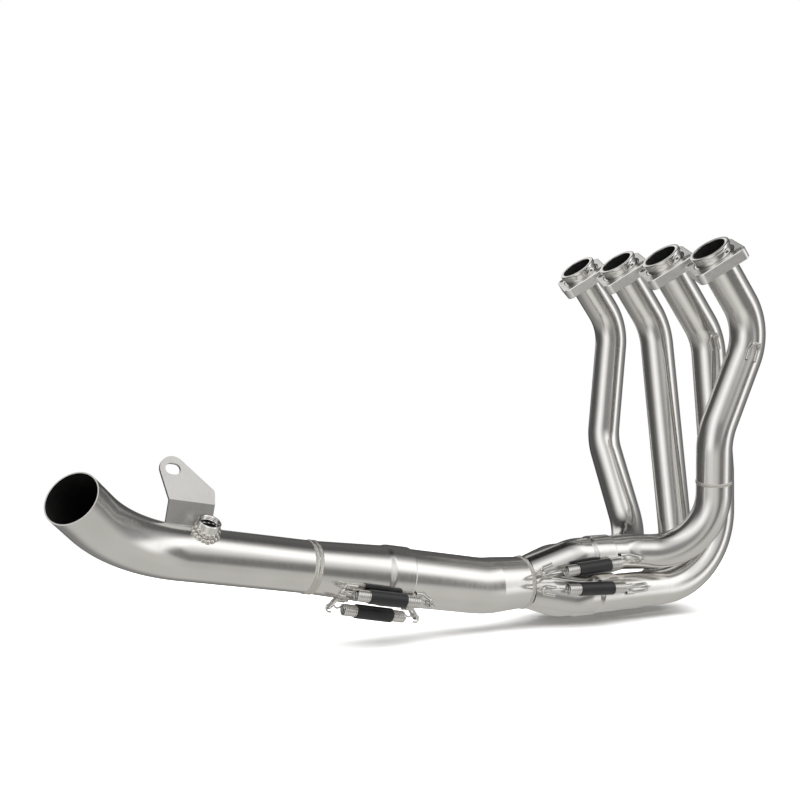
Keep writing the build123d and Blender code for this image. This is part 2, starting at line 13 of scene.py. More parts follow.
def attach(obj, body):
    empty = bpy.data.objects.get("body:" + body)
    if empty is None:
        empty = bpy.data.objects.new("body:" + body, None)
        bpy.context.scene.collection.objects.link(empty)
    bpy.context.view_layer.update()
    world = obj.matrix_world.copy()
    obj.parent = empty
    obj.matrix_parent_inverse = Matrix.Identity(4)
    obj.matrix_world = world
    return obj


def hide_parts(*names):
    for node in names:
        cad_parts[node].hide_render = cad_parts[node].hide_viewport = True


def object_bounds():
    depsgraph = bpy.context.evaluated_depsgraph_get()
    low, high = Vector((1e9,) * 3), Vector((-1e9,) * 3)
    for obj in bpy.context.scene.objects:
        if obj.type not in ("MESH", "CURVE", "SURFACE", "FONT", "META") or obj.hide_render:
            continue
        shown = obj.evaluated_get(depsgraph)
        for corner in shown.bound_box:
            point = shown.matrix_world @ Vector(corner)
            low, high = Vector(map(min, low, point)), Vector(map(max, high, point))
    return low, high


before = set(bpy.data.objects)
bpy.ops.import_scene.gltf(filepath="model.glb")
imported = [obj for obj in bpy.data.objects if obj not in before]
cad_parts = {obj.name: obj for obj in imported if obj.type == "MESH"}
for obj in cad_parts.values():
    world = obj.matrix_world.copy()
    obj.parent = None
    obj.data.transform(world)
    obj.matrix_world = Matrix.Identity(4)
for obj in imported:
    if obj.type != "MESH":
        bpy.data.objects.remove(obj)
cad_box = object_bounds()
MM = 0.001

# %% [markdown]
# The layout repeats the header's own driving sizes, so that a tube drawn here lies on its solid: the
# port row, the collector's place and roll, the link pipe's rise and the tail's bend.

# %% Layout
PORTS = (1, 2, 3, 4)
PORT_PITCH = 77.0
PORT_TILT = math.radians(38.0)
PRIMARY_RADIUS = 19.0
WALL = 1.2
LEFT = Vector((0, 1, 0))
UP = Vector((0, 0, 1))
FORWARD = Vector((1, 0, 0))
PORT_AXIS = Vector((-math.sin(PORT_TILT), 0, math.cos(PORT_TILT)))
RING_CENTRE = Vector((-180.9, -138.0, -344.4))
LEG_PLACE = 41.6 / math.sqrt(2)
MERGE_START = 8.0
MERGE_LENGTH = 55.0
LEG_LENGTH = 100.0
LEAN = (LEG_PLACE - MERGE_START) / MERGE_LENGTH
LEG_ANGLES = {1: 30.0, 2: 300.0, 3: 210.0, 4: 120.0}
OUTLET_BEND = RING_CENTRE - FORWARD * 52.0
LINK_RISE = math.radians(9.8)
LINK_AXIS = Vector((-math.cos(LINK_RISE), 0, math.sin(LINK_RISE)))
LINK_UP = Vector((math.sin(LINK_RISE), 0, math.cos(LINK_RISE)))
OUTLET_RADIUS = 29.0
TAIL_RADIUS = 25.4
LINK_START, LINK_END = 94.0, 197.0
TAIL_RUN, TAIL_REACH = 185.0, 89.0
TAIL_BEND_RADIUS = 135.0
TAIL_START = OUTLET_BEND + LINK_AXIS * LINK_END
TAIL_BEND = TAIL_START + LINK_AXIS * TAIL_RUN
TAIL_RISE, TAIL_OUTWARD = math.radians(33.7), math.radians(41.0)
TAIL_AXIS = Vector((-math.cos(TAIL_RISE) * math.cos(TAIL_OUTWARD),
                    -math.cos(TAIL_RISE) * math.sin(TAIL_OUTWARD),
                    math.sin(TAIL_RISE)))
TAIL_MOUTH = TAIL_BEND + TAIL_AXIS * TAIL_REACH


def port_centre(number):
    return Vector((0, -PORT_PITCH * (number - 1), 0))


def sideways(angle):
    return LEFT * math.cos(math.radians(angle)) + UP * math.sin(math.radians(angle))


def leg_point(number, place, radius=LEG_PLACE):
    return RING_CENTRE + FORWARD * place + sideways(LEG_ANGLES[number]) * radius


print("tail mouth at", [round(x, 1) for x in TAIL_MOUTH])

# %% [markdown]
# One function adds a node to any tree, sets its properties and its sockets, and links whatever is given
# as a socket of another node. Another turns a written sRGB colour into the linear one that shaders use.

# %% Node helper and colour


def add(tree, kind, settings=None, **sockets):
    node = tree.nodes.new(kind)
    for name, value in (settings or {}).items():
        setattr(node, name, value)
    for name, value in sockets.items():
        key = name.replace("_", " ")
        socket = node.inputs[int(key[1:])] if key[0] == "i" and key[1:].isdigit() else node.inputs[key]
        if isinstance(value, bpy.types.NodeSocket):
            tree.links.new(value, socket)
        else:
            socket.default_value = value
    return node


def srgb(text):
    values = [int(text[i:i + 2], 16) / 255 for i in (1, 3, 5)]
    return tuple(v / 12.92 if v <= 0.04045 else ((v + 0.055) / 1.055) ** 2.4 for v in values) + (1.0,)


print("middle grey is", round(srgb("#808080")[0], 3), "in linear light")

# %% [markdown]
# Every finish here is made of the same few steps: noise for the pattern, a map from the noise to a
# narrow range, a mix of two close colours, and a bump. Each step gets a short function, so a finish
# reads as a recipe.

# %% Steps of a finish
NOISE_LOW, NOISE_HIGH = 0.3, 0.7


def new_material(name):
    material = bpy.data.materials.new(name)
    material.use_nodes = True
    tree = material.node_tree
    tree.nodes.clear()
    shader = add(tree, "ShaderNodeBsdfPrincipled")
    add(tree, "ShaderNodeOutputMaterial", i0=shader.outputs[0])
    return material, tree, shader


def noise(tree, where, scale, detail, rough):
    node = add(tree, "ShaderNodeTexNoise", Vector=where, Scale=scale, Detail=detail, Roughness=rough)
    return node.outputs["Fac"]


def mapped(tree, value, low, high, start=0.0, end=1.0):
    return add(tree, "ShaderNodeMapRange", Value=value, i1=low, i2=high, i3=start, i4=end).outputs[0]


def blend(tree, share, first, second):
    return add(tree, "ShaderNodeMix", {"data_type": "RGBA"}, i0=share, i6=first, i7=second).outputs[2]


def coat(tree, shader, colour, rough, height, strength, bump_mm):
    bump = add(tree, "ShaderNodeBump", Strength=strength, Distance=bump_mm * MM, Height=height)
    tree.links.new(colour, shader.inputs["Base Color"])
    tree.links.new(rough, shader.inputs["Roughness"])
    tree.links.new(bump.outputs[0], shader.inputs["Normal"])


print("noise is read from", NOISE_LOW, "to", NOISE_HIGH)

# %% [markdown]
# Brushed stainless tube. A sanding belt runs round the tube, so its scratches are hoops: short along
# the tube and long round it. They are about 0.1 mm apart on the real thing, too fine to show, so they
# are drawn 0.8 mm apart. The eye gets a satin mirror: broad clear bands along the tube, a little soft
# at their edges, on a warm grey. The pattern reads an attribute called "straight", the place on the
# tube as if it had never been bent.

# %% Brushed steels
CLOUD_MM = 60


def brushed_steel(name, low, high, rough, line_mm, bump_mm, place="straight", stretch=(14.0, 14.0, 1.0)):
    material, tree, shader = new_material(name)
    if place == "straight":
        where = add(tree, "ShaderNodeAttribute", {"attribute_name": "straight"}).outputs["Vector"]
    else:
        where = add(tree, "ShaderNodeTexCoord").outputs["Object"]
    per_metre = 1.0 / (line_mm * MM)
    scaled = add(tree, "ShaderNodeMapping", Vector=where, Scale=[per_metre / s for s in stretch])
    lines = noise(tree, scaled.outputs[0], 1.0, 3.0, 0.6)
    clouds = noise(tree, where, 1.0 / (CLOUD_MM * MM), 2.0, 0.5)
    colour = blend(tree, mapped(tree, clouds, NOISE_LOW, NOISE_HIGH), srgb(low), srgb(high))
    spread = mapped(tree, lines, NOISE_LOW, NOISE_HIGH, rough - 0.04, rough + 0.06)
    coat(tree, shader, colour, spread, lines, 0.5, bump_mm)
    shader.inputs["Metallic"].default_value = 1.0
    return material


tube_steel = brushed_steel("stainless_tube_hoop_brushed", "#e4e2de", "#eceae7", 0.17, 0.8, 0.004)
sheet_steel = brushed_steel("stainless_sheet_satin", "#c4c3c0", "#cfcecb", 0.36, 0.6, 0.004,
                            "object", (1.0, 12.0, 12.0))
flange_steel = brushed_steel("steel_flange_milled", "#f0efec", "#f6f5f3", 0.3, 0.6, 0.004,
                             "object", (9.0, 9.0, 9.0))
collar_steel = brushed_steel("stainless_collar_turned_polished", "#e2e0dc", "#eae8e5", 0.1, 0.5, 0.003)
wire_steel = brushed_steel("stainless_wire_bright_drawn", "#e0deda", "#e9e7e4", 0.16, 0.4, 0.003,
                           "object", (3.0, 3.0, 3.0))
weld_steel = brushed_steel("stainless_weld_bead", "#d9d6cf", "#ebe8e2", 0.22, 1.2, 0.02,
                           "object", (1.0, 1.0, 1.0))
print("steels", [m.name for m in bpy.data.materials if "stain" in m.name or "steel" in m.name])

# %% [markdown]
# Two finishes are not bright steel: the black rubber sleeve over each spring, with a soft sheen, and
# painted shade inside the pipes, a near-black colour that stands in for the shade down the bores and
# lets the cut edge read as a thin bright ring.

# %% Rubber and painted bore shade


def speckled(name, dark, pale, rough, grain_mm, bump_mm):
    material, tree, shader = new_material(name)
    where = add(tree, "ShaderNodeTexCoord").outputs["Object"]
    grain = noise(tree, where, 1.0 / (grain_mm * MM), 4.0, 0.6)
    colour = blend(tree, grain, srgb(dark), srgb(pale))
    spread = mapped(tree, grain, NOISE_LOW, NOISE_HIGH, rough - 0.07, rough + 0.07)
    coat(tree, shader, colour, spread, grain, 0.4, bump_mm)
    return material


sleeve_rubber = speckled("rubber_black_extruded", "#101011", "#202022", 0.36, 1.6, 0.05)
# Painted shade: a near-black colour for the shade inside the bores.
bore_shade = speckled("steel_painted_bore_shade", "#0b0b0b", "#1d1c1b", 0.55, 5.0, 0.05)
print("dark finishes", sleeve_rubber.name, bore_shade.name)

# %% [markdown]
# Every piece that is made here becomes a plain mesh object at the origin, rides on its body and stands
# for its solid. The header is one rigid body, and the four loose flanges are bodies of their own.

# %% Finishing a piece


def put(name, data):
    thing = bpy.data.objects.new(name, data)
    bpy.context.scene.collection.objects.link(thing)
    return thing


def finish_piece(name, mesh, materials, stands_for=(), body="header", sharp=35.0):
    mesh.name = name
    mesh.materials.clear()
    for material in materials:
        mesh.materials.append(material)
    mesh.polygons.foreach_set("use_smooth", [True] * len(mesh.polygons))
    mesh.set_sharp_from_angle(angle=math.radians(sharp))
    piece = put(name, mesh)
    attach(piece, body)
    if stands_for:
        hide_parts(*stands_for)
    return piece


def baked_mesh(carrier):
    bpy.context.view_layer.update()
    shown = carrier.evaluated_get(bpy.context.evaluated_depsgraph_get())
    mesh = bpy.data.meshes.new_from_object(shown)
    old = carrier.data
    bpy.data.objects.remove(carrier)
    bpy.data.meshes.remove(old)
    return mesh


# %% [markdown]
# A Geometry Nodes tree has its sockets declared, ends in a group output and runs as a modifier. Three
# trees are made here, for tubes, weld beads and coils, so these jobs get functions of their own.

# %% Starting and ending a tree
FLOAT, INT, STUFF = "NodeSocketFloat", "NodeSocketInt", "NodeSocketMaterial"


def new_tree(name, inputs):
    tree = bpy.data.node_groups.new(name, "GeometryNodeTree")
    tree.interface.new_socket("Geometry", in_out="INPUT", socket_type="NodeSocketGeometry")
    tree.interface.new_socket("Geometry", in_out="OUTPUT", socket_type="NodeSocketGeometry")
    keys = {}
    for label, kind in inputs:
        keys[label] = tree.interface.new_socket(label, in_out="INPUT", socket_type=kind).identifier
    return tree, keys, tree.nodes.new("NodeGroupInput")


def end_tree(tree, geometry, material):
    real = add(tree, "GeometryNodeRealizeInstances", Geometry=geometry)
    painted = add(tree, "GeometryNodeSetMaterial", Geometry=real.outputs[0], Material=material)
    add(tree, "NodeGroupOutput", i0=painted.outputs[0])
    print(tree.name, "tree", len(tree.nodes), "nodes")


def run_tree(carrier, tree, keys, values):
    modifier = carrier.modifiers.new(tree.name, "NODES")
    modifier.node_group = tree
    for label, value in values.items():
        modifier[keys[label]] = value


# %% [markdown]
# A bent tube follows a rule: straight runs with a bend of known radius at each corner, and one round
# section all the way. Geometry Nodes fit that well. The tree rounds the corners of a chain of points,
# cuts the line into short equal steps, sweeps a circle along it, and stores each point's place on the
# unbent tube for the brushed finish.

# %% The bent tube tree


def named(tree, name, kind):
    return add(tree, "GeometryNodeInputNamedAttribute", {"data_type": kind}, Name=name).outputs["Attribute"]


def stored(tree, geometry, name, kind, value):
    node = add(tree, "GeometryNodeStoreNamedAttribute", {"data_type": kind, "domain": "POINT"},
               Geometry=geometry, Name=name, Value=value)
    return node.outputs[0]


tube_tree, tube_keys, given = new_tree("bent tube", [
    ("Outer radius", FLOAT), ("Step", FLOAT), ("Sides", INT), ("Finish", STUFF)])
line = add(tube_tree, "GeometryNodeMeshToCurve", Mesh=given.outputs["Geometry"])
rounded = add(tube_tree, "GeometryNodeFilletCurve", {"mode": "POLY"}, Curve=line.outputs[0], Count=40,
              Radius=named(tube_tree, "bend_radius", "FLOAT"))
even = add(tube_tree, "GeometryNodeResampleCurve", {"mode": "LENGTH"}, Curve=rounded.outputs[0],
           Length=given.outputs["Step"])
along = add(tube_tree, "GeometryNodeSplineParameter")
measured = stored(tube_tree, even.outputs[0], "along", "FLOAT", along.outputs["Length"])
circle = add(tube_tree, "GeometryNodeCurvePrimitiveCircle", Resolution=given.outputs["Sides"],
             Radius=given.outputs["Outer radius"])
spot = add(tube_tree, "GeometryNodeInputPosition")
marked = stored(tube_tree, circle.outputs[0], "across", "FLOAT_VECTOR", spot.outputs[0])
swept = add(tube_tree, "GeometryNodeCurveToMesh", Curve=measured, i1=marked)
wide = add(tube_tree, "ShaderNodeSeparateXYZ", Vector=named(tube_tree, "across", "FLOAT_VECTOR"))
joined = add(tube_tree, "ShaderNodeCombineXYZ", X=wide.outputs[0], Y=wide.outputs[1],
             Z=named(tube_tree, "along", "FLOAT"))
placed = stored(tube_tree, swept.outputs[0], "straight", "FLOAT_VECTOR", joined.outputs[0])
end_tree(tube_tree, placed, given.outputs["Finish"])

# %% [markdown]
# The tree needs a chain of points with a bend radius on each. A Solidify modifier then gives the swept
# skin its wall, with a rim at both ends, and the result is baked to a plain mesh.

# %% Using the bent tube tree


def bent_tube(points, radii, outer, wall=WALL, step=2.5, sides=72, finish=None):
    mesh = bpy.data.meshes.new("chain")
    mesh.from_pydata([p * MM for p in points], [(i, i + 1) for i in range(len(points) - 1)], [])
    bends = mesh.attributes.new("bend_radius", "FLOAT", "POINT")
    bends.data.foreach_set("value", [r * MM for r in [0.0] + list(radii) + [0.0]])
    carrier = put("chain", mesh)
    run_tree(carrier, tube_tree, tube_keys, {
        "Outer radius": outer * MM, "Step": step * MM, "Sides": sides, "Finish": finish or tube_steel})
    if wall:
        skin = carrier.modifiers.new("wall", "SOLIDIFY")
        skin.thickness = wall * MM
        skin.offset = -1.0
        skin.use_even_offset = True
    return baked_mesh(carrier)


# %% [markdown]
# Each primary leaves its port along the port's tilt, bends once or twice, turns at an elbow to run
# level, and slides into its collector leg. Two of them also sidestep before the leg. The corners are
# listed, and the tree does the rest.

# %% Primaries
TUBE_START = 15.0
INSERTION = 22.0
BEND_RADIUS = 62.0
SIDESTEP_PLACE, SIDESTEP_RADIUS = 132.0, 55.0
FIRST_RUN = {1: 79.0, 2: 84.0, 3: 102.0, 4: 95.0}
MIDDLE = {1: [(34.1, 0.0, -203.9)], 2: [], 3: [(72.1, -6.0, -232.9)], 4: [(13.1, 12.0, -189.9)]}
ELBOWS = {1: (25.1, -72.0, 62.0), 2: (51.1, None, 70.0), 3: (70.1, None, 85.0), 4: (29.1, 31.0, 66.0)}


def primary_route(number):
    centre, leg = port_centre(number), leg_point(number, 0)
    points = [centre - PORT_AXIS * TUBE_START, centre - PORT_AXIS * FIRST_RUN[number]]
    radii = [BEND_RADIUS]
    for forward, aside, height in MIDDLE[number]:
        points.append(Vector((forward, centre.y + aside, height)))
        radii.append(BEND_RADIUS)
    forward, aside, radius = ELBOWS[number]
    points.append(Vector((forward, leg.y if aside is None else centre.y + aside, leg.z)))
    radii.append(radius)
    if aside is not None:
        points.append(leg_point(number, SIDESTEP_PLACE))
        radii.append(SIDESTEP_RADIUS)
    return points + [leg_point(number, LEG_LENGTH - INSERTION)], radii


for number in PORTS:
    points, radii = primary_route(number)
    mesh = bent_tube(points, radii, PRIMARY_RADIUS)
    finish_piece(f"primary_{number}_tube", mesh, [tube_steel], [f"primary_tube_{number}"])
    print("primary", number, len(mesh.polygons), "faces")

# %% [markdown]
# Turned and spun pieces have a half section that goes once round an axis: the sockets, the outlet's
# cone, the link pipe's sleeve. A lathe function spins the section, a list of radius and place along the
# axis, and stores the same "straight" place as the tubes have. Corners get a narrow bevel, because a
# metal edge always catches a line of light. Long lines get a point near each end, so smooth shading
# doesn't sweep across them.

# %% The lathe
SUPPORT = 1.0
LONG_LINE = 4.0
BEVEL_FROM = math.radians(12)


def with_supports(outline):
    fine = []
    for k, (r, z) in enumerate(outline):
        fine.append((r, z))
        r_next, z_next = outline[(k + 1) % len(outline)]
        run = math.hypot(r_next - r, z_next - z)
        if run > LONG_LINE:
            for share in (SUPPORT / run, 1.0 - SUPPORT / run):
                fine.append((r + (r_next - r) * share, z + (z_next - z) * share))
    return fine


def square_to(axis):
    across = axis.cross(LEFT if abs(axis.dot(LEFT)) < 0.9 else UP).normalized()
    return across, axis.cross(across)


def lathe(origin, axis, outline, sides=96, bevel=0.25):
    outline = with_supports(outline)
    across, third = square_to(axis)
    mesh = bpy.data.meshes.new("turned")
    form = bmesh.new()
    rings = []
    for turn in range(sides):
        angle = 2 * math.pi * turn / sides
        out = across * math.cos(angle) + third * math.sin(angle)
        rings.append([form.verts.new((origin + out * r + axis * z) * MM) for r, z in outline])
    for turn in range(sides):
        here, after = rings[turn], rings[(turn + 1) % sides]
        for k in range(len(outline)):
            other = (k + 1) % len(outline)
            form.faces.new((here[k], after[k], after[other], here[other]))
    bmesh.ops.recalc_face_normals(form, faces=form.faces)
    form.to_mesh(mesh)
    form.free()
    carrier = put("turned", mesh)
    if bevel:
        edge = carrier.modifiers.new("edge", "BEVEL")
        edge.width = bevel * MM
        edge.segments = 2
        edge.limit_method = "ANGLE"
        edge.angle_limit = BEVEL_FROM
    mesh = baked_mesh(carrier)
    straight = mesh.attributes.new("straight", "FLOAT_VECTOR", "POINT")
    places = []
    for vertex in mesh.vertices:
        off = vertex.co / MM - origin
        places += [off.dot(across) * MM, off.dot(third) * MM, off.dot(axis) * MM]
    straight.data.foreach_set("vector", places)
    return mesh


def join(meshes):
    form = bmesh.new()
    for mesh in meshes:
        form.from_mesh(mesh)
    whole = bpy.data.meshes.new("joined")
    form.to_mesh(whole)
    form.free()
    for mesh in meshes:
        bpy.data.meshes.remove(mesh)
    return whole


# %% [markdown]
# The merge collector takes the most skill on the real header. Each leg is a bent tube cut back to its
# own quarter by the two planes that it shares with its neighbours and by the plane of the weld ring,
# and four such legs close up to one throat. Here too the leg is swept whole and then cut, so the
# valleys come out as true tube-on-tube lines.

# %% Collector legs


def cut_away(mesh, point, keep):
    form = bmesh.new()
    form.from_mesh(mesh)
    every = form.verts[:] + form.edges[:] + form.faces[:]
    bmesh.ops.bisect_plane(form, geom=every, dist=1e-7, plane_co=point * MM, plane_no=keep, clear_inner=True)
    form.to_mesh(mesh)
    form.free()


SOCKET_INNER = PRIMARY_RADIUS + 0.25
SOCKET_OUTER = SOCKET_INNER + WALL
SOCKET = [(17.8, 70), (19.0, 70), (19.05, 70.6), (19.5, 72.4), (20.2, 74.4), (SOCKET_OUTER, 75.4),
          (SOCKET_OUTER, LEG_LENGTH), (SOCKET_INNER, LEG_LENGTH), (SOCKET_INNER, 75)]
LEG_BEND_RADIUS = 40.0
LEG_TUBE_END = 70.5
for number in PORTS:
    start = leg_point(number, -PRIMARY_RADIUS, MERGE_START - LEAN * PRIMARY_RADIUS)
    chain = [start, leg_point(number, MERGE_LENGTH), leg_point(number, LEG_TUBE_END)]
    mesh = bent_tube(chain, [LEG_BEND_RADIUS], PRIMARY_RADIUS, step=1.5)
    cut_away(mesh, RING_CENTRE, FORWARD)
    for side in (-45, 45):
        cut_away(mesh, RING_CENTRE, sideways(LEG_ANGLES[number] + side))
    socket = lathe(leg_point(number, 0), FORWARD, SOCKET)
    piece = finish_piece(f"leg_{number}", join([mesh, socket]), [tube_steel], [f"collector_leg_{number}"])
    print("leg", number, len(piece.data.polygons), "faces")

# %% [markdown]
# Outlet and link run in line. The outlet opens out from the throat in a cone and bends a little, and
# the link pipe slips over it with an expanded sleeve and narrows to the tail. Cones and sleeves are
# spun on the lathe, and the plain run between them is one more bent tube.

# %% Outlet and link pipe
BACKWARD = FORWARD * -1
CONE_END = 40
SLIP_DEPTH = 21
OUTLET_BEND_RADIUS = 120.0
CONE = [(27, 2), (27, 5), (29, 40.2), (27.8, 40.2), (25.8, 5), (25.8, 2)]
THROAT = [(23.4, 0), (26.9, 0), (26.9, 2.4), (25.4, 2.4), (23.4, 1.3)]
LINK = [(29.25, LINK_START), (30.45, LINK_START), (30.45, 116.5), (30.3, 118), (29.5, 120.6), (29.05, 122.5),
        (TAIL_RADIUS, LINK_END), (TAIL_RADIUS - WALL, LINK_END), (27.8, 122), (29.25, 118)]
cone = lathe(RING_CENTRE, BACKWARD, CONE, bevel=0.15)
slip_end = OUTLET_BEND + LINK_AXIS * (LINK_START + SLIP_DEPTH)
pipe = bent_tube([RING_CENTRE - FORWARD * CONE_END, OUTLET_BEND, slip_end], [OUTLET_BEND_RADIUS],
                 OUTLET_RADIUS, sides=96)
throat = lathe(RING_CENTRE, BACKWARD, THROAT)
finish_piece("outlet_pipe", join([cone, pipe, throat]), [tube_steel], ["collector_outlet"])
finish_piece("link_cone", lathe(OUTLET_BEND, LINK_AXIS, LINK), [tube_steel], ["link_pipe"])
print("outlet and link done")

# %% [markdown]
# The tail bends outwards to its cut mouth and has a hole for a sensor. A boolean could drill it, but
# the boss covers the edge, so it is enough to take out the faces of the wall that lie inside the bore.

# %% Tail pipe
BOSS_FOOT = TAIL_START + LINK_AXIS * 114.0
BOSS_LEAN = math.radians(29.0)
BOSS_AXIS = LINK_UP * math.cos(BOSS_LEAN) - LEFT * math.sin(BOSS_LEAN)
BOSS_BORE = 8.2
DRILL_PLAY = 0.6


def from_axis(point, foot, axis):
    off = point / MM - foot
    rise = off.dot(axis)
    return rise, (off - axis * rise).length


tail = bent_tube([TAIL_START, TAIL_BEND, TAIL_MOUTH], [TAIL_BEND_RADIUS], TAIL_RADIUS, step=1.5, sides=128)
form = bmesh.new()
form.from_mesh(tail)
drilled = []
for face in form.faces:
    rise, radius = from_axis(face.calc_center_median(), BOSS_FOOT, BOSS_AXIS)
    if rise > 0 and radius < BOSS_BORE + DRILL_PLAY:
        drilled.append(face)
print("faces drilled out", len(drilled))
bmesh.ops.delete(form, geom=drilled, context="FACES")
form.to_mesh(tail)
form.free()
finish_piece("tail", tail, [tube_steel, bore_shade], ["tail_pipe"])

# %% [markdown]
# In the tail, painted shade lies on the inner wall only: a near-black colour for the shade inside the pipe.
# A face belongs to that wall when it looks towards the tube's middle line. The last millimetre stays bright
# steel, so the cut edge reads as a thin bright ring.

# %% Painted shade inside the tail
BEND_STEPS = 12
BRIGHT_EDGE = 1.2
INWARD = 0.6
TAIL_TURN = LINK_AXIS.angle(TAIL_AXIS)
TANGENT = TAIL_BEND_RADIUS * math.tan(TAIL_TURN / 2)
BEND_START = TAIL_BEND - LINK_AXIS * TANGENT
BEND_END = TAIL_BEND + TAIL_AXIS * TANGENT
BEND_SIDE = (TAIL_AXIS - LINK_AXIS * LINK_AXIS.dot(TAIL_AXIS)).normalized()


def on_run(point, start, axis, length):
    return start + axis * min(max((point - start).dot(axis), 0), length)


def on_arc(start, axis, side, radius, angle):
    return start + axis * radius * math.sin(angle) + side * radius * (1 - math.cos(angle))


turns = [k / BEND_STEPS * TAIL_TURN for k in range(BEND_STEPS + 1)]
bend_spots = [on_arc(BEND_START, LINK_AXIS, BEND_SIDE, TAIL_BEND_RADIUS, turn) for turn in turns]
shaded_faces = 0
# Inner-wall faces short of the mouth take the painted shade.
for face in tail.polygons:
    middle = face.center / MM
    runs = [on_run(middle, TAIL_START, LINK_AXIS, TAIL_RUN - TANGENT),
            on_run(middle, BEND_END, TAIL_AXIS, TAIL_REACH - TANGENT)]
    nearest = min(runs + bend_spots, key=lambda spot: (spot - middle).length)
    looks_in = face.normal.dot((nearest - middle).normalized()) > INWARD
    if looks_in and (middle - TAIL_MOUTH).dot(TAIL_AXIS) < -BRIGHT_EDGE:
        face.material_index = 1
        shaded_faces += 1
print("faces in painted shade", shaded_faces)

# %% [markdown]
# The port collars are turned parts, polished, with a rim for the gasket and a shoulder that the flange
# pushes on. The lathe makes them again with finely rounded corners, so the rims catch a line of light.

# %% Port collars
COLLAR = [(17.8, -15), (19, -15), (20, -13), (20, -4.2), (22.6, -4.2), (22.6, -0.3), (21, -0.3), (21, 7),
          (22.2, 7), (22.2, 10.4), (21.6, 11), (17.8, 11)]
COLLAR_BORE = 18.0
COLLAR_SHADE_DEPTH = 9.0
for number in PORTS:
    collar = lathe(port_centre(number), PORT_AXIS, COLLAR, bevel=0.3)
    finish_piece(f"collar_{number}", collar, [collar_steel, bore_shade], [f"port_spigot_{number}"])
    # Painted shade: bore faces deeper than the set depth take the near-black colour, for the shade down the
    # port.
    for face in collar.polygons:
        rise, radius = from_axis(face.center, port_centre(number), PORT_AXIS)
        if radius < COLLAR_BORE and rise < COLLAR_SHADE_DEPTH:
            face.material_index = 1
    print("collar", number, len(collar.polygons), "faces")

# %% [markdown]
# The sensor boss is a turned nut blank with an M18 x 1.5 thread, welded over a hole in the tail. The
# bore's section is a zigzag with the thread's own pitch: rings give the eye the same dark and light
# lines as a true helix would.

# %% Sensor boss
THREAD_PITCH = 1.5
THREAD_ROOT = 8.95
THREAD_TURNS = 8
BOSS_SHADE_RISE = 33.5
boss = [(THREAD_ROOT, 24.2), (11.0, 22.6), (11.0, 37.1), (10.2, 37.9), (9.4, 37.9)]
for turn in range(THREAD_TURNS):
    boss += [(BOSS_BORE, 36.9 - THREAD_PITCH * turn), (THREAD_ROOT, 36.15 - THREAD_PITCH * turn)]
boss_mesh = lathe(BOSS_FOOT, BOSS_AXIS, boss, sides=64, bevel=0)
finish_piece("threaded_boss", boss_mesh, [collar_steel, bore_shade], ["sensor_boss"])
# Painted shade and painted light on the thread: deep faces and down-facing flanks take the near-black
# colour, up-facing flanks near the mouth stay bright as lit arcs.
for face in boss_mesh.polygons:
    rise, radius = from_axis(face.center, BOSS_FOOT, BOSS_AXIS)
    if radius < THREAD_ROOT + 0.05 and (rise < BOSS_SHADE_RISE or face.normal.dot(BOSS_AXIS) < 0):
        face.material_index = 1
print("boss", len(boss_mesh.polygons), "faces")

# %% [markdown]
# A weld bead is a row of overlapping puddles, each pushed a little over the last. Geometry Nodes suit
# it: walk the seam in steps of about 1.4 mm, and set a flattened drop at each step, turned to the seam
# and to the metal below.

# %% The weld bead tree
bead_tree, bead_keys, given = new_tree("weld bead", [
    ("Spacing", FLOAT), ("Width", FLOAT), ("Height", FLOAT), ("Length", FLOAT), ("Seed", INT),
    ("Finish", STUFF)])
seam = add(bead_tree, "GeometryNodeMeshToCurve", Mesh=given.outputs["Geometry"])
steps = add(bead_tree, "GeometryNodeCurveToPoints", {"mode": "LENGTH"}, Curve=seam.outputs[0],
            Length=given.outputs["Spacing"])
upright = add(bead_tree, "FunctionNodeAlignRotationToVector", {"axis": "Z"},
              Vector=named(bead_tree, "out", "FLOAT_VECTOR"))
turned = add(bead_tree, "FunctionNodeAlignRotationToVector", {"axis": "X", "pivot_axis": "Z"},
             Rotation=upright.outputs[0], Vector=steps.outputs["Tangent"])
drop = add(bead_tree, "GeometryNodeMeshUVSphere", Segments=10, Rings=6, Radius=0.5)
soft = add(bead_tree, "GeometryNodeSetShadeSmooth", Geometry=drop.outputs[0])
size = add(bead_tree, "ShaderNodeCombineXYZ", X=given.outputs["Length"], Y=given.outputs["Width"],
           Z=given.outputs["Height"])
uneven = add(bead_tree, "FunctionNodeRandomValue", {"data_type": "FLOAT"}, i2=0.88, i3=1.1,
             Seed=given.outputs["Seed"])
grown = add(bead_tree, "ShaderNodeVectorMath", {"operation": "SCALE"}, i0=size.outputs[0],
            Scale=uneven.outputs[1])
row = add(bead_tree, "GeometryNodeInstanceOnPoints", Points=steps.outputs[0], Instance=soft.outputs[0],
          Rotation=turned.outputs[0], Scale=grown.outputs[0])
end_tree(bead_tree, row.outputs[0], given.outputs["Finish"])


def weld_bead(places, outs, width, height, spacing=1.4, length=2.6, closed=False, seed=1):
    mesh = bpy.data.meshes.new("seam")
    edges = [(i, i + 1) for i in range(len(places) - 1)] + ([(len(places) - 1, 0)] if closed else [])
    mesh.from_pydata([p * MM for p in places], edges, [])
    away = mesh.attributes.new("out", "FLOAT_VECTOR", "POINT")
    away.data.foreach_set("vector", [x for o in outs for x in o])
    carrier = put("seam", mesh)
    run_tree(carrier, bead_tree, bead_keys, {
        "Spacing": spacing * MM, "Width": width * MM, "Height": height * MM, "Length": length * MM,
        "Seed": seed, "Finish": weld_steel})
    return baked_mesh(carrier)


# %% [markdown]
# Three seams go right round a tube: the merge ring, the joint of link and tail, which was laid in two
# passes, and the butt weld in primary 4. A ring of points with the way out at each is all that the bead
# tree needs.

# %% Ring welds
RING_STEPS = 90
RING_WELD_RADIUS = 26.9
BUTT_WELD_BACK = 80.0


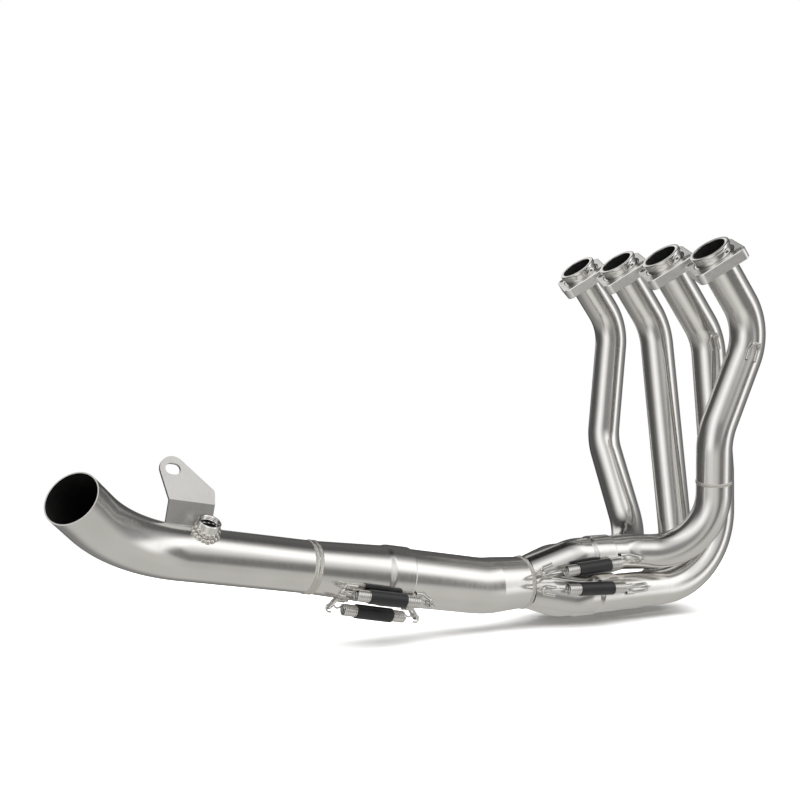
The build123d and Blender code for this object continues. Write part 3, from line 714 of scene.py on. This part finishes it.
def ring_seam(centre, axis, radius):
    across, third = square_to(axis)
    outs = []
    for turn in range(RING_STEPS):
        angle = 2 * math.pi * turn / RING_STEPS
        outs.append(across * math.cos(angle) + third * math.sin(angle))
    return [centre + o * radius for o in outs], outs


seam = ring_seam(RING_CENTRE - FORWARD * 2.2, FORWARD, RING_WELD_RADIUS)
ring_welds = [weld_bead(*seam, width=5.4, height=2.8, closed=True)]
for place, width in ((-1.4, 4.0), (3.2, 5.2)):
    seam = ring_seam(TAIL_START + LINK_AXIS * place, LINK_AXIS, TAIL_RADIUS - 0.05)
    ring_welds.append(weld_bead(*seam, width=width, height=2.0, closed=True, seed=2))
route, radii = primary_route(4)
down = (route[3] - route[2]).normalized()
seam = ring_seam(route[3] - down * BUTT_WELD_BACK, down, PRIMARY_RADIUS - 0.1)
ring_welds.append(weld_bead(*seam, width=4.2, height=1.5, closed=True, seed=3))
finish_piece("ring_welds", join(ring_welds), [weld_steel], sharp=80)
print("ring welds", RING_STEPS, "points round each")

# %% [markdown]
# Two welds follow a curve of their own. The boss's bead lies where a cylinder meets the tail, so it
# rises and falls like a saddle, and it was laid by hand in fat uneven puddles, one row low and one
# above it. The bracket's foot has a thin bead down each side.

# %% Boss and bracket welds
SADDLE_STEPS = 48
SADDLE_RADIUS = 11.4
BRACKET_START, BRACKET_LENGTH = 105.0, 44.0
BRACKET_BEAD_ASIDE = 2.1
BEAD_INSET = 1.5
boss_side = LINK_AXIS.cross(BOSS_AXIS).normalized()
places, outs, upper = [], [], []
for turn in range(SADDLE_STEPS):
    angle = 2 * math.pi * turn / SADDLE_STEPS
    spread = LINK_AXIS * math.cos(angle) + boss_side * math.sin(angle)
    rise = math.sqrt(TAIL_RADIUS ** 2 - (SADDLE_RADIUS * math.sin(angle)) ** 2) + 0.4
    places.append(BOSS_FOOT + spread * SADDLE_RADIUS + BOSS_AXIS * rise)
    upper.append(places[-1] + BOSS_AXIS * 5.6 - spread * 1.2)
    outs.append((BOSS_AXIS + spread * 0.8).normalized())
fitting_welds = [
    weld_bead(places, outs, width=6.6, height=4.2, spacing=4.6, length=6.8, closed=True, seed=5),
    weld_bead(upper, outs, width=7.0, height=3.6, spacing=5.2, length=7.0, closed=True, seed=9)]
for side in (-1, 1):
    lean = math.asin(BRACKET_BEAD_ASIDE / TAIL_RADIUS)
    out = LINK_UP * math.cos(lean) + LEFT * side * math.sin(lean)
    foot = TAIL_START + LINK_AXIS * BRACKET_START + out * TAIL_RADIUS
    ends = [foot + LINK_AXIS * run for run in (BEAD_INSET, BRACKET_LENGTH - BEAD_INSET)]
    fitting_welds.append(weld_bead(ends, [out, out], width=1.8, height=1.2, seed=7 + side))
finish_piece("fitting_welds", join(fitting_welds), [weld_steel], sharp=80)
print("boss and bracket welds done")

# %% [markdown]
# Spring hooks: a hairpin of round wire, its two legs welded along the tube and its closed end raised.
# The wire is swept by the same tree as the tubes, with no wall. First come the hooks at the slip
# joints, with the two spots that each spring will pull on.

# %% Places of the spring hooks
HOOK_WIRE = 1.6
HOOK_LEG = 12.0
PLAIN = (3.5, 0.05)
PRIMARY_HOOK_PLACE, PRIMARY_STAND = 121.0, 14.0
LEG_HOOK_PLACE, LEG_STAND = 8.0, 17.0
OUTLET_HOOK_PLACE, LINK_HOOK_PLACE, LINK_STAND = 77.0, 174.0, 10.5
OUTLET_HOOK_LEG = 8.5
NARROWING = 122.0
PRIMARY_HOOK_ANGLES = {1: 345.0, 2: 8.0, 3: 165.0, 4: 188.0}
LEG_HOOK_ANGLES = {1: 358.0, 2: 350.0, 3: 178.0, 4: 170.0}
LINK_HOOK_ANGLES = {1: 210.0, 2: 256.0}
hooks, eyes = {}, {}
for number in PORTS:
    out = sideways(PRIMARY_HOOK_ANGLES[number])
    seat = leg_point(number, PRIMARY_HOOK_PLACE)
    hooks[f"primary_spring_hook_{number}"] = (
        seat, FORWARD, out, PRIMARY_RADIUS, PRIMARY_STAND, HOOK_LEG, *PLAIN)
    near = (seat + out * (PRIMARY_RADIUS + PRIMARY_STAND), out.cross(FORWARD))
    along = (leg_point(number, 0, MERGE_START) - leg_point(number, MERGE_LENGTH)).normalized()
    seat = leg_point(number, LEG_HOOK_PLACE, MERGE_START + LEAN * LEG_HOOK_PLACE)
    out = sideways(LEG_HOOK_ANGLES[number])
    out = (out - along * out.dot(along)).normalized()
    hooks[f"collector_spring_hook_{number}"] = (
        seat, along, out, PRIMARY_RADIUS, LEG_STAND, HOOK_LEG, *PLAIN)
    eyes[f"collector_spring_{number}"] = (
        *near, seat + out * (PRIMARY_RADIUS + LEG_STAND), along.cross(out))
drop = (OUTLET_RADIUS - TAIL_RADIUS) / (LINK_END - NARROWING)
for number, angle in LINK_HOOK_ANGLES.items():
    out = LINK_UP * math.sin(math.radians(angle)) + LEFT * math.cos(math.radians(angle))
    seat = OUTLET_BEND + LINK_AXIS * OUTLET_HOOK_PLACE
    hooks[f"outlet_spring_hook_{number}"] = (
        seat, LINK_AXIS * -1, out, OUTLET_RADIUS, LINK_STAND, OUTLET_HOOK_LEG, *PLAIN)
    near = (seat + out * (OUTLET_RADIUS + LINK_STAND), LINK_AXIS.cross(out))
    radius = OUTLET_RADIUS - drop * (LINK_HOOK_PLACE - NARROWING)
    along, cone_out = (LINK_AXIS - out * drop).normalized(), (out + LINK_AXIS * drop).normalized()
    seat = OUTLET_BEND + LINK_AXIS * LINK_HOOK_PLACE + out * radius - cone_out * radius
    hooks[f"link_spring_hook_{number}"] = (seat, along, cone_out, radius, LINK_STAND, HOOK_LEG, *PLAIN)
    eyes[f"link_spring_{number}"] = (*near, seat + cone_out * (radius + LINK_STAND), along.cross(cone_out))
print("hooks at the joints", len(hooks), "springs to come", len(eyes))

# %% [markdown]
# Two more hooks sit on the first bends of primaries 3 and 4 and hold nothing here. Their legs spread
# wider and stand off a little, because the tube curves away under them.

# %% Spare hooks
SPARE = (4.6, 0.32)
SPARE_PLACES = {3: 97.0, 4: 108.0}
SPARE_BACK = 9.0
SPARE_STAND = 9.0


def on_first_bend(number, place):
    """A point on a primary's first bend, this far down from the flange face, and the line's way there."""
    route, radii = primary_route(number)
    before, after = (route[1] - route[0]).normalized(), (route[2] - route[1]).normalized()
    tangent = radii[0] * math.tan(before.angle(after) / 2)
    turn = (place - FIRST_RUN[number] + tangent) / radii[0]
    inward = (after - before * before.dot(after)).normalized()
    spot = on_arc(route[1] - before * tangent, before, inward, radii[0], turn)
    return spot, before * math.cos(turn) + inward * math.sin(turn)


for number, place in SPARE_PLACES.items():
    spot, way = on_first_bend(number, place + SPARE_BACK)
    out = LEFT * -1 - FORWARD * 0.4
    out = (out - way * out.dot(way)).normalized()
    hooks[f"spare_spring_hook_{number}"] = (
        spot - way * SPARE_BACK, way * -1, out, PRIMARY_RADIUS, SPARE_STAND, HOOK_LEG, *SPARE)
print("hooks in all", len(hooks))

# %% [markdown]
# With the places known, one loop bends every hairpin and lays a short bead along each of its legs.

# %% Bending and welding the hooks
HOOK_RAMP = 6.0
HOOK_BENDS = [3.0, 2.6, 2.6, 3.0]


def hook_points(seat, along, out, radius, stand, leg, half, gap):
    side = out.cross(along) * half
    low = math.sqrt((radius + HOOK_WIRE + gap) ** 2 - half ** 2)
    points = []
    for turn in (-1, 1):
        run = [seat - along * (HOOK_RAMP + leg) + out * low + side * turn,
               seat - along * HOOK_RAMP + out * low + side * turn,
               seat + out * (radius + stand) + side * turn]
        points += run if turn < 0 else run[::-1]
    return points


hook_welds = []
for count, (name, shape) in enumerate(hooks.items()):
    seat, along, out, radius, stand, leg, half, gap = shape
    mesh = bent_tube(hook_points(*shape), HOOK_BENDS, HOOK_WIRE, wall=0, step=0.8, sides=16,
                     finish=wire_steel)
    finish_piece(name.replace("hook", "wire_hook"), mesh, [wire_steel], [name])
    side = out.cross(along)
    for turn in (-1, 1):
        offset = turn * (half + 1.3)
        low = math.sqrt(radius ** 2 - offset ** 2) + 0.1
        backs = (HOOK_RAMP + leg, HOOK_RAMP + BEAD_INSET)
        ends = [seat - along * back + side * offset + out * low for back in backs]
        lean = (out * low + side * offset).normalized()
        hook_welds.append(weld_bead(ends, [lean, lean], width=2.4, height=1.8, spacing=1.2, length=2.0,
                                    seed=count))
finish_piece("hook_welds", join(hook_welds), [weld_steel], sharp=80)
print("hook welds", len(hooks) * 2)

# %% [markdown]
# Springs are close wound, so the coil is a true helix: one more small tree, with the wire swept along a
# spiral. A screw modifier could do it too, but the tree takes the number of turns and the length as
# plain inputs.

# %% The coil tree
coil_tree, coil_keys, given = new_tree("spring coil", [
    ("Turns", FLOAT), ("Coil radius", FLOAT), ("Length", FLOAT), ("Wire radius", FLOAT), ("Finish", STUFF)])
spiral = add(coil_tree, "GeometryNodeCurveSpiral", Resolution=22, Rotations=given.outputs["Turns"],
             Start_Radius=given.outputs["Coil radius"], End_Radius=given.outputs["Coil radius"],
             Height=given.outputs["Length"])
wire = add(coil_tree, "GeometryNodeCurvePrimitiveCircle", Resolution=10, Radius=given.outputs["Wire radius"])
wound = add(coil_tree, "GeometryNodeCurveToMesh", Curve=spiral.outputs[0], i1=wire.outputs[0])
smooth = add(coil_tree, "GeometryNodeSetShadeSmooth", Geometry=wound.outputs[0])
end_tree(coil_tree, smooth.outputs[0], given.outputs["Finish"])


def coil(middle, pull, across, length, outer, wire_radius, turns):
    mesh = bpy.data.meshes.new("coil")
    mesh.from_pydata([(0, 0, 0)], [], [])
    carrier = put("coil", mesh)
    run_tree(carrier, coil_tree, coil_keys, {
        "Turns": turns, "Coil radius": (outer - wire_radius) * MM, "Length": (length - 2 * wire_radius) * MM,
        "Wire radius": wire_radius * MM, "Finish": wire_steel})
    mesh = baked_mesh(carrier)
    place = Matrix((across, pull.cross(across), pull)).transposed().to_4x4()
    place.translation = (middle - pull * (length / 2 - wire_radius)) * MM
    mesh.transform(place)
    return mesh


# %% [markdown]
# Each spring hangs between its two spots. Its ends are drawn out to hooked eyes that pull on the raised
# ends of the hairpins: short bent wires, from the same tree as the tubes. A black sleeve over the
# middle keeps the spring from singing.

# %% Springs and sleeves
COIL_LENGTH, COIL_RADIUS, COIL_WIRE, COIL_TURNS = 70.0, 6.0, 1.05, 33.0
EYE_WIRE = 1.0
EYE_PLAY = 0.3
LOOP = 3.7
LOOP_BEND = LOOP * 0.9
EYE_BENDS = [1.6, LOOP_BEND, LOOP_BEND / 2, LOOP_BEND, LOOP_BEND]
SLEEVE = [(6.1, -20), (6.9, -20), (7.1, -19.6), (7.1, 19.6), (6.9, 20), (6.1, 20)]


def eye_points(eye, pull, across, length):
    lift = across.cross(pull)
    offset = LOOP - EYE_WIRE - HOOK_WIRE - EYE_PLAY
    start = offset - length
    flat = [(start - 0.6, 5.0), (start + 0.9, 2.5), (-LOOP - 3.5, 0), (-LOOP, LOOP), (LOOP, LOOP),
            (LOOP, -LOOP), (-LOOP / 2, -LOOP)]
    return [eye - pull * offset + pull * x + lift * y for x, y in flat]


for name, (first, first_bar, second, second_bar) in eyes.items():
    pull = (second - first).normalized()
    middle = (first + second) / 2
    reach = ((second - first).length - COIL_LENGTH) / 2
    pieces = []
    for eye, way, bar in ((first, pull * -1, first_bar), (second, pull, second_bar * -1)):
        across = (bar - way * bar.dot(way)).normalized()
        points = eye_points(eye, way, across, reach)
        pieces.append(bent_tube(points, EYE_BENDS, EYE_WIRE, wall=0, step=0.6, sides=12, finish=wire_steel))
    across = (first_bar - pull * first_bar.dot(pull)).normalized()
    pieces.append(coil(middle, pull, across, COIL_LENGTH, COIL_RADIUS, COIL_WIRE, COIL_TURNS))
    finish_piece(name.replace("spring", "coil_spring"), join(pieces), [wire_steel], [name],
                 sharp=80)
    cover = lathe(middle, pull, SLEEVE, sides=40, bevel=0.2)
    cover_name = name.replace("spring", "spring_sleeve")
    finish_piece(cover_name.replace("sleeve", "rubber_sleeve"), cover, [sleeve_rubber], [cover_name])
print("springs", len(eyes))

# %% [markdown]
# The flanges and the hanger bracket keep their solids as they are and only take a finish: milled steel
# and satin sheet. Each colour varies a little, so no face is one flat grey.

# %% Finishes on the solids that stay
for name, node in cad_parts.items():
    finish = None
    if name.startswith("head_flange"):
        finish = flange_steel
    elif name == "hanger_bracket":
        finish = sheet_steel
    if finish:
        node.data.materials.clear()
        node.data.materials.append(finish)
        print(name, "in", finish.name)

# %% [markdown]
# The stage has a paper floor just under the lowest point, which takes the shadow. Metal doesn't mirror
# it, because the room that is painted further on has a floor of its own.

# %% Floor
FLOOR_HALF = 1.2
FLOOR_GAP = 0.0002
FADE_REACH = (0.95, 0.75)
low, high = cad_box
centre = (Vector(low) + Vector(high)) / 2
floor_mesh = bpy.data.meshes.new("floor")
form = bmesh.new()
bmesh.ops.create_grid(form, x_segments=1, y_segments=1, size=FLOOR_HALF)
bmesh.ops.translate(form, verts=form.verts, vec=(centre.x, centre.y, low[2] - FLOOR_GAP))
form.to_mesh(floor_mesh)
form.free()
floor = put("floor", floor_mesh)
floor.visible_glossy = False
print("floor at", round(low[2], 4))

# %% [markdown]
# The paper is matt white. It turns transparent before its edge, in a soft oval round the header, so no
# horizon shows against the white behind.

# %% Paper


def vector_node(tree, operation, first, second):
    return add(tree, "ShaderNodeVectorMath", {"operation": operation}, i0=first, i1=second)


paper, tree, shader = new_material("white_paper")
shader.inputs["Base Color"].default_value = srgb("#fbfbfa")
shader.inputs["Roughness"].default_value = 1.0
shader.inputs["Specular IOR Level"].default_value = 0.0
spot = add(tree, "ShaderNodeTexCoord").outputs["Object"]
off = vector_node(tree, "SUBTRACT", spot, (centre.x, centre.y, low[2]))
flat = vector_node(tree, "MULTIPLY", off.outputs[0], (1 / FADE_REACH[0], 1 / FADE_REACH[1], 0.0))
far = add(tree, "ShaderNodeVectorMath", {"operation": "LENGTH"}, i0=flat.outputs[0])
fade = add(tree, "ShaderNodeMapRange", {"interpolation_type": "SMOOTHSTEP"}, Value=far.outputs["Value"],
           i1=0.45, i2=1.0, i3=0.0, i4=1.0)
clear = add(tree, "ShaderNodeBsdfTransparent")
mixed = add(tree, "ShaderNodeMixShader", i0=fade.outputs[0], i1=shader.outputs[0], i2=clear.outputs[0])
output = next(n for n in tree.nodes if n.type == "OUTPUT_MATERIAL")
tree.links.new(mixed.outputs[0], output.inputs[0])
floor_mesh.materials.append(paper)
print("paper", len(tree.nodes), "nodes")

# %% [markdown]
# Satin metal shows the room, so the room matters more than the lamps. It is painted into the world by
# two angles: the turn, which is 0 towards the camera and positive to its right, and the rise above the
# horizon. Soft boxes as objects would do, but a ramp of a few stops is easier to tune against the bands
# on the tubes.

# %% Directions of the room
VIEW_YAW = math.radians(28.5)
AHEAD = Vector((math.sin(VIEW_YAW), math.cos(VIEW_YAW), 0))
ASIDE = Vector((math.cos(VIEW_YAW), -math.sin(VIEW_YAW), 0))
ROUND, STEEP = 180, 90


def math_node(tree, operation, *values):
    sockets = {f"i{k}": value for k, value in enumerate(values)}
    return add(tree, "ShaderNodeMath", {"operation": operation}, **sockets).outputs[0]


def ramp(tree, angle, limit, stops):
    """A level that follows an angle between -limit and limit, straight between stops in degrees."""
    fraction = mapped(tree, angle, -math.radians(limit), math.radians(limit))
    node = add(tree, "ShaderNodeValToRGB", Fac=fraction)
    node.color_ramp.interpolation = "LINEAR"
    elements = node.color_ramp.elements
    elements.remove(elements[1])
    for count, (degrees, level) in enumerate(stops):
        position = (degrees + limit) / (2 * limit)
        element = elements.new(position) if count else elements[0]
        element.position = position
        element.color = (level, level, level, 1.0)
    return node.outputs[0]


world = bpy.data.worlds.new("studio")
bpy.context.scene.world = world
world.use_nodes = True
room = world.node_tree
room.nodes.clear()
way = add(room, "ShaderNodeTexCoord").outputs["Generated"]
right = vector_node(room, "DOT_PRODUCT", way, ASIDE)
front = vector_node(room, "DOT_PRODUCT", way, AHEAD * -1)
room_turn = math_node(room, "ARCTAN2", right.outputs["Value"], front.outputs["Value"])
room_rise = math_node(room, "ARCSINE", add(room, "ShaderNodeSeparateXYZ", Vector=way).outputs[2])
print("room angles", len(room.nodes), "nodes")

# %% [markdown]
# The walls are painted twice, low and high, and blend between 9 and 33 degrees of rise. Both have a
# bright panel at the left, round -46 degrees, and one at the right, round 76. The stretch between them
# is dimmer below and bright above, and everything darkens towards the ceiling.

# %% Walls of the room
low_walls = ramp(room, room_turn, ROUND, [
    (-180, 0.05), (-130, 0.08), (-100, 0.07), (-80, 0.16), (-62, 0.62), (-46, 0.98), (-30, 0.74),
    (-14, 0.24), (4, 0.2), (19, 0.24), (32, 0.5), (42, 0.42), (62, 0.42), (70, 1.0), (82, 1.0), (92, 0.3),
    (120, 0.15), (180, 0.05)])
high_walls = ramp(room, room_turn, ROUND, [
    (-150, 0.04), (-104, 0.07), (-74, 0.6), (-46, 0.98), (-24, 0.6), (-8, 0.52), (5, 1.0), (20, 0.98),
    (40, 0.78), (56, 0.8), (66, 1.1), (82, 1.1), (98, 0.4), (124, 0.1)])
lift = ramp(room, room_rise, STEEP, [(9, 0.0), (33, 1.0)])
ceiling = ramp(room, room_rise, STEEP, [(44, 1.0), (56, 0.8), (68, 0.42), (88, 0.12)])
walls = vector_node(room, "MULTIPLY", blend(room, lift, low_walls, high_walls), ceiling)
lit = walls.outputs[0]
print("walls painted")

# %% [markdown]
# Three patches finish the room. A pale backdrop stands far round at the left and brightens the edges of
# the tubes. Below the horizon lies a warm floor, lighter near the middle. Over both goes a dark band at
# the right, which climbs as it goes round: the low pipes show it as their dark stripe.

# %% Backdrop, floor and dark band
BACKDROP = (0.74, 0.74, 0.73, 1.0)
DEEP_FLOOR = (0.46, 0.46, 0.46, 1.0)
FLOOR_TINT = (1.0, 0.985, 0.95)
DARK_BAND = (0.15, 0.148, 0.143, 1.0)
BAND_CLIMB = 0.9
behind = ramp(room, room_turn, ROUND, [(-178, 0.0), (-172, 1.0), (-152, 1.0), (-136, 0.0)])
standing = ramp(room, room_rise, STEEP, [(0, 0.0), (12, 1.0), (38, 1.0), (50, 0.0)])
lit = blend(room, math_node(room, "MULTIPLY", behind, standing), lit, BACKDROP)
floor_level = ramp(room, room_turn, ROUND, [
    (-120, 0.2), (-75, 0.28), (-45, 0.38), (-25, 0.62), (0, 0.66), (18, 0.42), (35, 0.34), (58, 0.5),
    (140, 0.42)])
deep = ramp(room, room_rise, STEEP, [(-66, 1.0), (-46, 0.0)])
warm = vector_node(room, "MULTIPLY", blend(room, deep, floor_level, DEEP_FLOOR), FLOOR_TINT)
ground = ramp(room, room_rise, STEEP, [(-32, 1.0), (-12, 0.0)])
lit = blend(room, ground, lit, warm.outputs[0])
corner = ramp(room, room_turn, ROUND, [(16, 0.0), (28, 1.0), (62, 1.0), (69, 0.0)])
climb = math_node(room, "MULTIPLY_ADD", room_turn, -BAND_CLIMB, room_rise)
below = ramp(room, climb, STEEP, [(-71, 0.0), (-63, 1.0), (-45, 1.0), (-35, 0.0)])
lit = blend(room, math_node(room, "MULTIPLY", corner, below), lit, DARK_BAND)
print("room", len(room.nodes), "nodes")

# %% [markdown]
# The metal sees the painted room, and the camera sees plain white behind the header. A light path node
# tells the two apart.

# %% What the camera sees
ROOM_STRENGTH = 1.25
ray = add(room, "ShaderNodeLightPath")
seen = add(room, "ShaderNodeMath", {"operation": "ADD", "use_clamp": True}, i0=ray.outputs["Is Camera Ray"],
           i1=ray.outputs["Is Transmission Ray"])
painted = add(room, "ShaderNodeBackground", Color=lit, Strength=ROOM_STRENGTH)
white = add(room, "ShaderNodeBackground", Color=srgb("#ffffff"), Strength=1.0)
mixed = add(room, "ShaderNodeMixShader", i0=seen.outputs[0], i1=painted.outputs[0], i2=white.outputs[0])
add(room, "ShaderNodeOutputWorld", i0=mixed.outputs[0])
print("world done", len(room.nodes), "nodes")

# %% [markdown]
# One wide lamp overhead gives the floor its soft shadow. Metal doesn't mirror it, so the painted room
# alone makes the bands.

# %% Lamp overhead
LAMP_RISE = math.radians(89)
LAMP_DISTANCE, LAMP_SIZE, LAMP_POWER = 2.0, 4.0, 200
lamp = bpy.data.lights.new("top_box", "AREA")
lamp.size = LAMP_SIZE
lamp.energy = LAMP_POWER
top_box = put("top_box", lamp)
lamp_way = AHEAD * -math.cos(LAMP_RISE) + UP * math.sin(LAMP_RISE)
top_box.location = centre + lamp_way * LAMP_DISTANCE
top_box.rotation_euler = (lamp_way * -1).to_track_quat("-Z", "Y").to_euler()
top_box.visible_camera = False
top_box.visible_glossy = False
print("lamp at", [round(x, 3) for x in top_box.location])

# %% [markdown]
# The camera stands off the tail's side of the header, at a height between the ports and the low pipes,
# and looks almost level. A fairly long lens keeps the port row from shrinking much into the distance.

# %% Camera
CAMERA_PLACE = Vector((-900.34, -1191.94, -136.03))
CAMERA_PITCH = math.radians(0.7)
lens = bpy.data.cameras.new("camera")
lens.lens = 54.0
lens.sensor_width = 36.0
camera = put("camera", lens)
camera.location = CAMERA_PLACE * MM
look = AHEAD * math.cos(CAMERA_PITCH) - UP * math.sin(CAMERA_PITCH)
camera.rotation_euler = look.to_track_quat("-Z", "Y").to_euler()
bpy.context.scene.camera = camera
bpy.context.scene.view_settings.view_transform = "Standard"
print("camera at", [round(x, 3) for x in camera.location])
